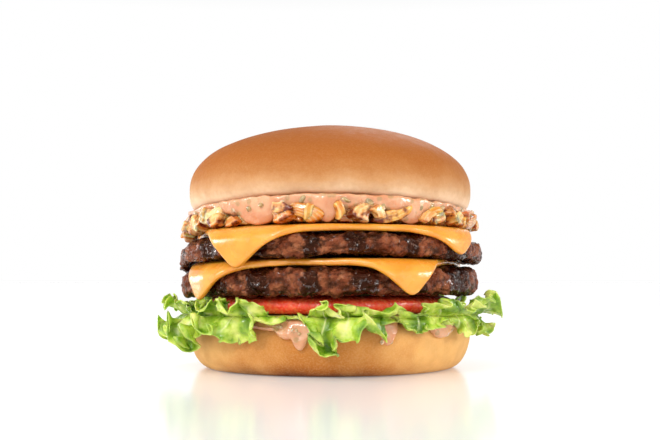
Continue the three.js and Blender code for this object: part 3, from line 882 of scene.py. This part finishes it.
def tomato():
    """A thick slice with a rounded skin edge, set to the front."""
    radius, depth, forward = 43, TOMATO_TOP - TOMATO_LOW, (0, -4.5, 0)
    bearing = bearings(240)
    outline = [
        (36, 0), (radius - 2.2, 0), (radius - 0.5, 1), (radius, 2.7), (radius - 1, depth - 1.2),
        (radius - 5, depth), (34, depth),
    ]
    radii, z = profile(outline, 40)
    radii = radii * (1 + 0.012 * np.sin(5 * bearing) + 0.01 * np.sin(2 * bearing + 1))
    grid = around(radii, bearing, TOMATO_LOW + z)
    lumps = 0.2 * noise(grid, 5, 91) + 0.08 * noise(grid, 1.6, 92)
    points, *faces = closed(TOMATO_LOW, pushed(grid, around(1, bearing, 0), lumps), TOMATO_TOP)
    return solid("tomato_slice", points + forward, *faces)


# Lettuce

LEAF_SIDES = [-108, -13, 24, 108, 178, 252]
LEAF_INNER = 27
LEAF_BEND = 48.6
LEAF_START = LEAF_BEND + 0.8
# Bearing and half width in degrees of the longest tip, the bare stretch behind two drips, the lobe
# on the left, the notches over two more drips, and where the fold is lowest and where fairly low.
LEAF_TIP = [(-1.5, 4)]
LEAF_BARE = [(-13, 6.5)]
LEAF_LOBE = [(-88, 13)]
LEAF_NOTCH = [(21, 4), (48, 4)]
LEAF_LOW = [(-17, 9.5)]
LEAF_HALF = [(16, 20)]


def hang_slope(bearing):
    """Slope in degrees of the hanging rim, steepest on the right."""
    side = np.sin(bearing)
    return lerp(-40 - 15 * side**2 - 9 * side, -40, drip_at(LEAF_LOBE, bearing))


def hang_swing(bearing):
    return (34 - 12 * np.sin(bearing) ** 2) * (1 - 0.85 * drip_at(LEAF_LOBE, bearing))


def hang_reach(bearing):
    """Length of the hanging rim, as in the CAD source but shorter at the sides and in the notches."""
    side = np.sin(bearing)
    reach = 12 - 0.7 * side + 1.8 * np.sin(5 * bearing + 0.6) + 1.6 * np.sin(13 * bearing + 2)
    for stretch, length in ((LEAF_LOBE, 15.5), (LEAF_TIP, 16.5), (LEAF_BARE, 2.6)):
        reach = lerp(reach, length, drip_at(stretch, bearing))
    reach = reach * (1 - np.where(side > 0, 0.22, 0.12) * np.abs(side))
    return lerp(reach, 5.5, drip_at(LEAF_NOTCH, bearing))


def at_right(bearing):
    return smoothstep(np.sin(bearing), 0.7, 0.95)


def fold_slope(bearing):
    """Slope in degrees of the fold, which leans out past the patty on the right."""
    return 50 - 8 * np.sin(bearing) - 10 * at_right(bearing)


def fold_swing(_):
    return 24


def fold_reach(bearing):
    """Length of the fold that stands up, low where the tomato shows at the front and high
    behind it."""
    fold = 8.4 + 1.3 * np.sin(bearing) ** 2 + 1.5 * np.sin(9 * bearing + 1) + 2.6 * at_right(bearing)
    fold = fold + 2.6 * smoothstep(-np.cos(bearing), 0.1, 0.7)
    fold = lerp(fold, 4.2, drip_at(LEAF_LOW, bearing))
    fold = lerp(fold, 7.5 + 0.7 * np.sin(17 * bearing + 2), drip_at(LEAF_HALF, bearing))
    return lerp(fold, 1.4, drip_at(LEAF_BARE, bearing))


def leaf_side(side, v):
    return np.radians(LEAF_SIDES[side] + 2.2 * np.sin(5 * v + side % (len(LEAF_SIDES) - 1)))


def shell(grid, thickness):
    """Points, quads and triangles of a closed sheet round a grid of points."""
    columns, rows = grid.shape[:2]
    half = grid_normals(grid, wrap=False) * thickness[..., None] / 2
    points = np.concatenate([(grid + half).reshape(-1, 3), (grid - half).reshape(-1, 3)])
    top = grid_faces(columns, rows, False)
    under = top[:, ::-1] + columns * rows
    number = np.arange(columns * rows).reshape(columns, rows)
    rim = np.concatenate([number[:-1, 0], number[-1, :-1], number[:0:-1, -1], number[0, :0:-1]])
    after = np.roll(rim, -1)
    edge = np.stack([after, rim, rim + columns * rows, after + columns * rows], -1)
    return points, np.concatenate([top, under, edge]), np.zeros((0, 3), int)


def rim_sheet(side, steep, swing, reach, seed):
    """A grid of points over one leaf, with each row's share of the way out and each point's
    bearing: flat under the tomato, then a frilled rim. steep and swing give its slope at a
    bearing and how far that waves up and down, in degrees, and reach its length."""
    columns, rows, flat_rows, flat_share = 240, 34, 4, 0.22
    u = np.linspace(0, 1, columns)[:, None]
    run_share = np.linspace(0, 1, rows - flat_rows)[None]
    flat_v = np.linspace(0, flat_share, flat_rows, endpoint=False)[None]
    v = np.concatenate([flat_v, lerp(flat_share, 1, run_share)], axis=1)
    shy = np.radians(0.7)
    bearing = lerp(leaf_side(side, v) + shy, leaf_side(side + 1, v) - shy, u)
    rim = bearing[:, flat_rows:]
    place = around(55, rim, 0)
    ragged = 1 + 0.1 * noise(place, 3.4, seed) + 0.07 * noise(place, 1.3, seed + 1)
    run = run_share * reach(rim) * (1 - 0.45 * np.abs(2 * u - 1) ** 6) * ragged
    wander = noise(place, 13, seed + 2)
    lobes = np.sin(20 * rim + 1.1 * np.sin(3 * rim) - 1.05 + 1.6 * wander)
    fold = 47 * rim + 2.2 * np.sin(7 * rim) + 3.2 * wander
    frill = 112 * rim + 3 * np.sin(11 * rim) + 4.8 * wander
    out, further = smoothstep(run_share, 0.2, 0.9), smoothstep(run_share, 0.6, 1)
    slope = (steep(rim) + swing(rim) * lobes) * smoothstep(run, 0, 5)
    slope = np.radians(slope + 46 * np.sin(fold) * out + 40 * np.sin(frill) * further)
    step = np.diff(run, axis=1, prepend=0)
    radius = LEAF_START + np.cumsum(np.cos(slope) * step, axis=1)
    z = LEAF_MIDDLE + np.cumsum(np.sin(slope) * step, axis=1)
    swirl = 2.3 * np.cos(fold) * smoothstep(run_share, 0.2, 1) + 0.9 * np.cos(frill) * further
    ceiling = PATTY_LOW - 0.6 - droop(radius, rim) + 5 * smoothstep(radius, 54.6, 57.5)
    over = z - ceiling
    z = ceiling + (over - np.hypot(over, 1.2)) / 2
    inner = lerp(LEAF_INNER, LEAF_START, flat_v / flat_share)
    flat = around(inner, bearing[:, :flat_rows], LEAF_MIDDLE)
    grid = np.concatenate([flat, around(radius, rim + np.radians(swirl), z)], axis=1)
    crinkle = 0.75 * noise(grid, 4.2, seed + 3) + 0.4 * noise(grid, 1.8, seed + 4)
    grid = pushed(grid, grid_normals(grid, wrap=False), crinkle * smoothstep(v, 0.26, 0.6))
    beside = smoothstep(LEAF_MIDDLE - grid[..., 2], 1.0, 3.0)
    r = np.linalg.norm(grid[..., :2], axis=-1)
    inside = np.maximum(0, beside * (HEEL_RADIUS + 2.2) - r)
    outside = np.maximum(0, r - LEAF_FURTHEST)
    grid[..., :2] *= ((r + inside - 0.8 * outside) / r)[..., None]
    return grid, v, bearing


def leaf(side):
    """One leaf, with a rim that hangs over the heel and a fold that stands up by the tomato."""
    parts, margins, ribs = [], [], []
    for steep, swing, reach, seed in (
        (hang_slope, hang_swing, hang_reach, 300),
        (fold_slope, fold_swing, fold_reach, 400),
    ):
        grid, v, bearing = rim_sheet(side, steep, swing, reach, seed + 10 * side)
        veins = np.abs(np.sin(19 * bearing + 1.1 * np.sin(3 * bearing) + 1.6 * v))
        rib = smoothstep(1 - veins, 0.8, 1.0) * (1 - smoothstep(v, 0.55, 0.95))
        parts.append(shell(grid, lerp(0.7, 0.3, smoothstep(v, 0.3, 1))))
        margins.append(np.tile(np.broadcast_to(v, rib.shape).ravel(), 2))
        ribs.append(np.tile(rib.ravel(), 2))
    attributes = {"margin": np.concatenate(margins), "rib": np.concatenate(ribs)}
    return solid(f"leaf_{side + 1}", *joined(parts), **attributes)


# Onions

def boxy(value, power):
    """Rounds a wave towards a square one, the more so the lower the power."""
    return np.sign(value) * np.abs(value) ** power


def onion_piece(rng, size):
    """A piece of grilled onion about its own centre: a curved block, cut across its layers so
    that they show as arcs on its -Y face. Gives its points, layers, edge and tone."""
    width, height, depth = size
    pitch = rng.uniform(1.4, 2.1)
    first = rng.uniform(3.0, 7.0)
    turn, rise = bearings(32), half_turn(18)
    flat = boxy(np.maximum(np.cos(rise), 0), 0.3)
    x, y = boxy(np.cos(turn), 0.36) * flat, boxy(np.sin(turn), 0.36) * flat
    z = np.broadcast_to(boxy(np.sin(rise), 0.42), x.shape)
    slant = rng.uniform(-0.45, 0.45, 2)
    radius = first + height / 2 * (1 + z)
    span = np.minimum(width / 2 / (first + height / 2), 1.2)
    swing = x * span * (1 + slant[0] * z) + slant[1] * z * 0.5
    grid = np.stack([radius * np.sin(swing), y * depth / 2, radius * np.cos(swing) - first - height / 2], -1)
    layers = (radius - first) / pitch + 0.3 * noise(grid + 20 * rng.random(), 5, 2)
    seam = 1 - smoothstep(np.abs(np.sin(np.pi * layers)), 0.0, 0.4)
    ragged = 0.3 * noise(grid + 30 * rng.random(), 3.6, 4, 2) - 0.1 * seam
    grid = pushed(grid, outward_normals(grid), ragged)
    tone = hashed(np.stack([np.floor(layers), layers * 0 + np.floor(first * 99), layers * 0], -1), 5)
    end = np.clip(rng.choice([-1, 1]) * x, 0, 1)
    edge = np.clip(np.maximum(np.abs(x) ** 4, np.abs(z) ** 5) * 0.6 + 0.5 * end, 0, 1)
    return grid, layers, edge, tone


def onion_core():
    """The inside of the heap of onions, which the pieces hide."""
    radii, bearing = np.array([0, 20, 40, 43, 44.6])[None], bearings(300)
    low, high = onion_floor(radii, bearing), onion_ceiling(radii, bearing)
    side = lerp(low[:, -1:], high[:, -1:], np.array([0.25, 0.5, 0.75])[None])
    under, over = around(radii, bearing, low), around(radii, bearing, high)[:, ::-1]
    return turned(under, around(radii[0, -1], bearing, side), over)


# Radius of each ring of pieces, their number, and their least and greatest width, height and depth.
ONION_RINGS = [
    (46.0, 36, [7.5, 5.0, 4.5], [11.0, 7.5, 7.0]),
    (49.6, 36, [8.5, 5.5, 4.5], [12.5, 8.5, 6.5]),
    (50.2, 34, [3.5, 2.6, 2.4], [6.0, 4.6, 4.0]),
]


def onions():
    """The onions: their own core, with layered pieces round its rim."""
    rng = np.random.default_rng(17)
    parts = [onion_core()]
    fibre, shade, brown = ([np.full(len(parts[0][0]), value)] for value in (0.0, 0.3, 0.3))
    places = [(ring, n) for ring in ONION_RINGS for n in range(ring[1])]
    for (ring_radius, count, least, most), n in places:
        outer = ring_radius > 47
        bearing = (n + 0.6 * rng.random()) / count * TURN
        size = rng.uniform(least, most)
        spin = rng.choice([0, 0.5, -0.5, 1.2, -1.2, 2.8]) + rng.uniform(-0.3, 0.3)
        nod, yaw = rng.uniform(-0.3, 0.3), rng.uniform(-0.4, 0.4)
        out = ring_radius + rng.uniform(-0.5, 1.0) - size[2] / 2 + 2.4
        dripping = drip_at(DRESSING_DRIPS, bearing)
        if dripping > 0.35:
            out = min(out, 44.0)
        grid, layers, edge, tone = onion_piece(rng, size)
        for axis, angle in ((1, spin), (0, nod), (2, yaw + bearing)):
            grid = rotated(grid, axis, angle)
        on_top = 3.4 * outer * (1 - dripping) * rng.uniform(0.3, 1)
        low, high = onion_floor(out + 2, bearing), onion_ceiling(out + 2, bearing) + on_top
        low = low - 3.2 * near(bearing, -88, 24) * outer
        tall = np.ptp(grid[..., 2])
        squash = min(1.0, (high - low) / tall)
        lift = low + rng.random() * (high - low - squash * tall) - squash * grid[..., 2].min()
        parts.append(turned(grid * (1, 1, squash) + around(out, bearing, lift)))
        seared = rng.choice([-0.5, -0.35, -0.2, 0.05]) + 0.15 * outer
        shade_here = np.clip(rng.random() + 0.16 * (tone - 0.5), 0, 1)
        for kept, values in ((fibre, layers), (brown, seared + 0.75 * edge), (shade, shade_here)):
            ends = [values[:, 0].mean(), values[:, -1].mean()]
            kept.append(np.concatenate([values[:, 1:-1].ravel(), ends]))
    fibre, shade, brown = (np.concatenate(kept) for kept in (fibre, shade, brown))
    return solid("grilled_onions", *joined(parts), fibre=fibre, shade=shade, brown=brown)


def onion_floor(radius, bearing):
    return CHEESE_TOP + GAP - droop(radius, bearing)


def onion_ceiling(radius, bearing):
    return crown_floor(radius, bearing) - 2 * GAP - dressing_depth(radius, bearing)


# Stage

# Name, place, width and power in watts of each soft lamp.
LAMPS = [
    ("key", (-0.3, -0.62, 0.42), 0.09, 1.7),
    ("fill", (0.42, -0.6, 0.3), 0.08, 0.9),
    ("left", (-0.55, -0.1, 0.3), 0.14, 1.0),
    ("low_left", (-0.5, 0.25, 0.1), 0.12, 0.5),
    ("right", (0.57, -0.12, 0.2), 0.14, 1.1),
    ("back", (0.15, 0.6, 0.5), 0.3, 1.2),
]
LIT_HEIGHT = 0.045


def aimed(data, place, height):
    """A light or a camera at a place, pointing at a height on the burger's axis."""
    made = placed(data.name, data)
    made.location = place
    made.rotation_mode = "QUATERNION"
    made.rotation_quaternion = (Vector((0, 0, height)) - Vector(place)).to_track_quat("-Z", "Y")
    return made


def stage():
    """A white floor with a faint reflection, a pale surround and soft studio lights."""
    half = 20.0
    mesh = bpy.data.meshes.new("floor")
    corners = [(-half, -half, 0), (half, -half, 0), (half, half, 0), (-half, half, 0)]
    mesh.from_pydata(corners, [], [(0, 1, 2, 3)])
    floor = placed("floor", mesh)
    white = {"Base_Color": (0.86, 0.86, 0.86, 1), "Emission_Color": (1, 1, 1, 1), "Emission_Strength": 0.14}
    mesh.materials.append(Paint("floor", Specular_IOR_Level=1.0, Roughness=0.16, **white).material)
    surround()
    sun = bpy.data.lights.new("high", "SUN")
    sun.energy = 1.2
    sun.angle = 1.0
    aimed(sun, (-0.35, -0.7, 1.0), LIT_HEIGHT)
    for name, place, width, power in LAMPS:
        lamp = bpy.data.lights.new(name, "AREA")
        lamp.size = width
        lamp.energy = power
        aimed(lamp, place, LIT_HEIGHT)


def surround():
    """A world that is white round the horizon and dimmer overhead."""
    world = bpy.data.worlds.new("surround")
    world.use_nodes = True
    nodes, links = world.node_tree.nodes, world.node_tree.links
    parts = nodes.new("ShaderNodeSeparateXYZ")
    ramp = nodes.new("ShaderNodeMapRange")
    links.new(nodes.new("ShaderNodeTexCoord").outputs["Generated"], parts.inputs[0])
    links.new(parts.outputs["Z"], ramp.inputs["Value"])
    links.new(ramp.outputs[0], nodes["Background"].inputs["Strength"])
    for name, value in (("From Min", 0.25), ("From Max", 0.5), ("To Min", 1.0), ("To Max", 0.35)):
        ramp.inputs[name].default_value = value
    nodes["Background"].inputs["Color"].default_value = (1, 1, 1, 1)
    bpy.context.scene.world = world


def camera():
    """The camera, low in front of the burger."""
    data = bpy.data.cameras.new("camera")
    data.lens = 57.5
    bpy.context.scene.camera = aimed(data, (0, -0.38, 0.0305), 0.0525)


bpy.context.scene.view_settings.view_transform = "Standard"
camera()
stage()
sauce, beef, melted, green = sauce_paint(), patty_paint(), cheese_paint(), lettuce_paint()
dress(crown(), crown_paint(), "bun", "crown")
dress(heel(), heel_paint(), "bun", "heel")
dress(spread(), sauce, "dressing", "spread")
dress(dressing(), sauce, "dressing", "dressing")
dress(relish(), relish_paint(), "dressing")
dress(patty("patty_below", LOWER), beef, "patty", "lower_patty")
dress(patty("patty_above", UPPER), beef, "patty", "upper_patty")
dress(cheese("cheese_below", LOWER, LOWER_SLICE), melted, "cheese", "lower_cheese")
dress(cheese("cheese_above", UPPER, UPPER_SLICE), melted, "cheese", "upper_cheese")
dress(tomato(), tomato_paint(), "tomato", "tomato")
for leaf_number in range(len(LEAF_SIDES) - 1):
    dress(leaf(leaf_number), green, "lettuce", f"lettuce_{leaf_number + 1}")
dress(onions(), onion_paint(), "onion", "onions")
